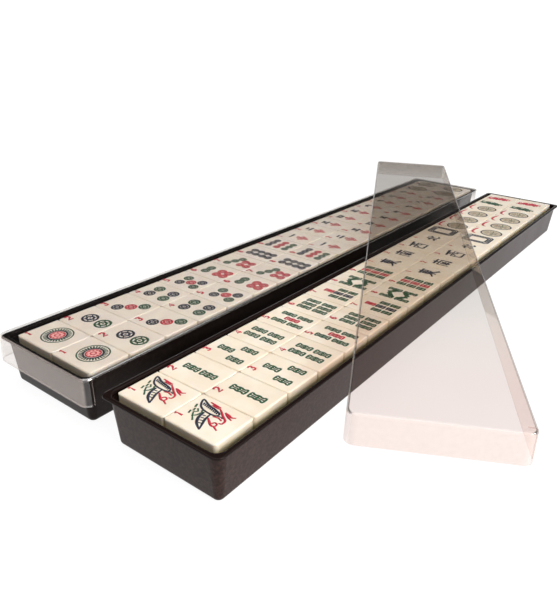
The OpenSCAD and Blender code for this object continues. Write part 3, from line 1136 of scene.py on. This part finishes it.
class MAHJONG_OT_dot_marks(bpy.types.Operator):
    """Draws the marks of the dot tiles"""

    bl_idname = "mahjong.dot_marks"
    bl_label = "Dot marks"

    def execute(self, context):
        draw_rows("dot", 9, dot_sheet)
        return {"FINISHED"}


class MAHJONG_OT_character_marks(bpy.types.Operator):
    """Draws the marks of the character tiles"""

    bl_idname = "mahjong.character_marks"
    bl_label = "Character marks"

    def execute(self, context):
        draw_rows("character", 9, character_sheet)
        return {"FINISHED"}


class MAHJONG_OT_joker_marks(bpy.types.Operator):
    """Draws the marks of the joker tiles"""

    bl_idname = "mahjong.joker_marks"
    bl_label = "Joker marks"

    def execute(self, context):
        draw_rows("joker", 2, joker_sheet)
        return {"FINISHED"}


# The sky from level (0) to straight up (1), ends first: each height, and how bright it is there
# as light and reflection
SKY_BANDS = ((0.0, 1.1), (1.0, 1.25), (0.165, 1.1), (0.25, 0.05), (0.66, 0.04), (0.78, 1.25))
# How bright the sky is when it is looked at itself
SKY_PALE = 1.1
# Each soft light: its place, where it points and its size
KEY_LIGHT = ((1.3, -0.15, 0.78), (-0.04, -0.36, 0), (1.15, 0.72))
BACK_LIGHT = ((-0.5, 0.0, 1.9), (0, -0.2, 0), (1.4, 1.0))
KEY_TINT = (1, 0.985, 0.96)
# How wide the main light spreads, in degrees, and the back light's power against it
KEY_SPREAD = 58
BACK_SHARE = 0.5
# The camera: its place, the way it looks, the way to its right, and the shift of its frame
CAMERA_PLACE = (0.16421, -0.37248, 0.17836)
CAMERA_FORWARD = (-0.52250814, 0.75041437, -0.40480058)
CAMERA_RIGHT = (0.81116945, 0.58375576, 0.0351187)
CAMERA_SHIFT = (-0.04646, -0.01304)


def soft_light(name, place, target, size, power, tint):
    """A soft light, a rectangle that faces its target."""
    select_only()
    bpy.ops.object.light_add(type="AREA", location=place)
    light = bpy.context.object
    light.name = name
    light.data.shape = "RECTANGLE"
    light.data.size, light.data.size_y = size
    light.data.energy = power
    light.data.color = tint
    light.rotation_euler = (Vector(target) - Vector(place)).to_track_quat("-Z", "Y").to_euler()
    return light


class MAHJONG_OT_stage(bpy.types.Operator):
    """Sets up the floor, the soft lights and the camera"""

    bl_idname = "mahjong.stage"
    bl_label = "Stage"

    def execute(self, context):
        settings = context.scene.mahjong_stage
        select_only()
        bpy.ops.mesh.primitive_plane_add(size=settings.floor_size, location=(0, 0, 0))
        floor = context.object
        floor.name = "floor"
        floor.data.materials.append(floor_finish(settings))

        world = bpy.data.worlds.new("studio")
        context.scene.world = world
        world.use_nodes = True
        nodes, links = world.node_tree.nodes, world.node_tree.links
        background = nodes["Background"]
        background.inputs["Strength"].default_value = settings.sky
        place = nodes.new("ShaderNodeTexCoord")
        split = nodes.new("ShaderNodeSeparateXYZ")
        bands = nodes.new("ShaderNodeValToRGB")
        links.new(place.outputs["Generated"], split.inputs[0])
        links.new(split.outputs[2], bands.inputs[0])
        # seen straight on the sky is plain and pale; its bands show only as light and reflections
        rays = nodes.new("ShaderNodeLightPath")
        plain = nodes.new("ShaderNodeMix")
        plain.data_type = "RGBA"
        plain.inputs[7].default_value = (SKY_PALE, SKY_PALE, SKY_PALE, 1)
        links.new(rays.outputs["Is Camera Ray"], plain.inputs[0])
        links.new(bands.outputs[0], plain.inputs[6])
        links.new(plain.outputs[2], background.inputs["Color"])
        stops = bands.color_ramp.elements
        for index, (height, level) in enumerate(SKY_BANDS):
            stop = stops[index] if index < 2 else stops.new(height)
            stop.position = height
            stop.color = (level, level, level, 1)

        key = soft_light("key_light", *KEY_LIGHT, settings.key, KEY_TINT)
        key.data.spread = math.radians(KEY_SPREAD)
        soft_light("back_light", *BACK_LIGHT, settings.key * BACK_SHARE, (1, 1, 1))

        select_only()
        bpy.ops.object.camera_add(location=CAMERA_PLACE)
        camera = context.object
        camera.name = "camera"
        forward, right = Vector(CAMERA_FORWARD), Vector(CAMERA_RIGHT)
        up = right.cross(forward)
        turn = Matrix((right, up, -forward)).transposed()
        camera.rotation_euler = turn.to_euler()
        camera.data.lens = settings.lens
        camera.data.sensor_width = 36
        camera.data.sensor_fit = "AUTO"
        camera.data.shift_x, camera.data.shift_y = CAMERA_SHIFT
        camera.data.clip_start = 0.01
        camera.data.clip_end = 100
        camera.data.dof.use_dof = False
        context.scene.camera = camera
        context.scene.view_settings.view_transform = "Standard"
        context.scene.view_settings.look = "None"
        return {"FINISHED"}


STEPS = (
    MAHJONG_OT_tiles,
    MAHJONG_OT_trays,
    MAHJONG_OT_covers,
    MAHJONG_OT_bamboo_marks,
    MAHJONG_OT_wind_marks,
    MAHJONG_OT_dragon_marks,
    MAHJONG_OT_flower_marks,
    MAHJONG_OT_dot_marks,
    MAHJONG_OT_character_marks,
    MAHJONG_OT_joker_marks,
    MAHJONG_OT_stage,
)
GROUPS = {
    "mahjong_tiles": MAHJONG_PG_tiles,
    "mahjong_inks": MAHJONG_PG_inks,
    "mahjong_trays": MAHJONG_PG_trays,
    "mahjong_covers": MAHJONG_PG_covers,
    "mahjong_stage": MAHJONG_PG_stage,
}


class MAHJONG_PT_sidebar(bpy.types.Panel):
    """Lists the pieces of the mahjong case"""

    bl_label = "Mahjong Case"
    bl_idname = "MAHJONG_PT_sidebar"
    bl_space_type = "VIEW_3D"
    bl_region_type = "UI"
    bl_category = "Mahjong Case"

    def draw(self, context):
        layout = self.layout
        for step in STEPS:
            layout.operator(step.bl_idname)
        for name in GROUPS:
            box = layout.box()
            box.label(text=name.replace("mahjong_", "").capitalize())
            group = getattr(context.scene, name)
            for key in group.bl_rna.properties.keys():
                if key not in ("rna_type", "name"):
                    box.prop(group, key)


def register():
    """Registers every class and gives the scene its settings."""
    for item in (*GROUPS.values(), *STEPS, MAHJONG_PT_sidebar):
        bpy.utils.register_class(item)
    for name, group in GROUPS.items():
        setattr(bpy.types.Scene, name, PointerProperty(type=group))


def unregister():
    """Takes the settings and classes away again."""
    for name in GROUPS:
        delattr(bpy.types.Scene, name)
    for item in reversed((*GROUPS.values(), *STEPS, MAHJONG_PT_sidebar)):
        bpy.utils.unregister_class(item)


def main():
    """Registers the add-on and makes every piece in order."""
    register()
    bpy.ops.mahjong.tiles()
    bpy.ops.mahjong.trays()
    bpy.ops.mahjong.covers()
    bpy.ops.mahjong.bamboo_marks()
    bpy.ops.mahjong.wind_marks()
    bpy.ops.mahjong.dragon_marks()
    bpy.ops.mahjong.flower_marks()
    bpy.ops.mahjong.dot_marks()
    bpy.ops.mahjong.character_marks()
    bpy.ops.mahjong.joker_marks()
    bpy.ops.mahjong.stage()


if __name__ == "__main__":
    main()
